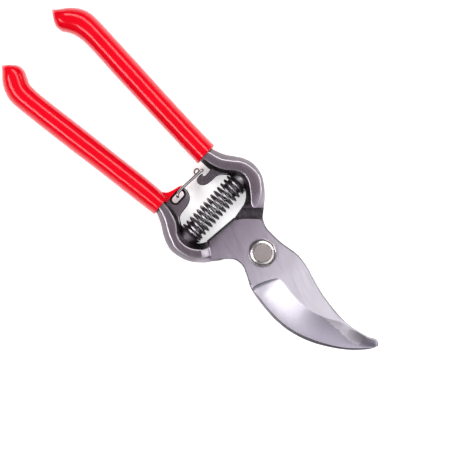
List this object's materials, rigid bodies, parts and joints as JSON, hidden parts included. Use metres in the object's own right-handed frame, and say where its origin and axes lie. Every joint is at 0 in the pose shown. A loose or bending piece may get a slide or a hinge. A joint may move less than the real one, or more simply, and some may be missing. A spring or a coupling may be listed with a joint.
{
  "type": "bypass pruner",
  "caption": "Hand pruner: a curved blade passes a hooked counter-blade on a pivot bolt, with dipped grips, a return spring and a wire catch.",
  "frame": {"origin": "on the pivot axis, in the end face of the nut and bolt, which the tool lies on", "axes": "+X towards the blade's tip, +Y towards the hook arm's handle, +Z along the pivot axis out of the blade's face"},
  "size_m": [0.2107, 0.0548, 0.0168],
  "materials": {
    "forged_steel": "forged and ground, satin",
    "grip_coat": "glossy dipped vinyl",
    "bolt_steel": "plated, bright",
    "spring_steel": "bright drawn wire, oiled",
    "wire_steel": "drawn wire",
    "tab_metal": "browned steel, satin"
  },
  "bodies": {
    "blade_half": {"blade_arm": "forged_steel", "blade_arm_grip": "grip_coat", "pivot_bolt": "bolt_steel", "pivot_washer": "bolt_steel", "pivot_nut": "bolt_steel", "return_spring": "spring_steel"},
    "hook_half": {"hook_arm": "forged_steel", "hook_arm_grip": "grip_coat"},
    "catch": {"safety_catch": "wire_steel", "catch_tab": "tab_metal"}
  },
  "joints": [
    {"name": "handles", "type": "hinge", "parent": "blade_half", "child": "hook_half", "pos_m": [0, 0, 0.0084], "axis": [0, 0, -1], "range_deg": [0, 30], "stiffness_Nm_per_rad": 1.5, "springref_deg": 31.51, "deforming": ["return_spring"]},
    {"name": "catch_swing", "type": "hinge", "parent": "blade_half", "child": "catch", "pos_m": [-0.0453, -0.007, 0.0084], "axis": [0, 0, 1], "range_deg": [-4.2, 80]}
  ]
}
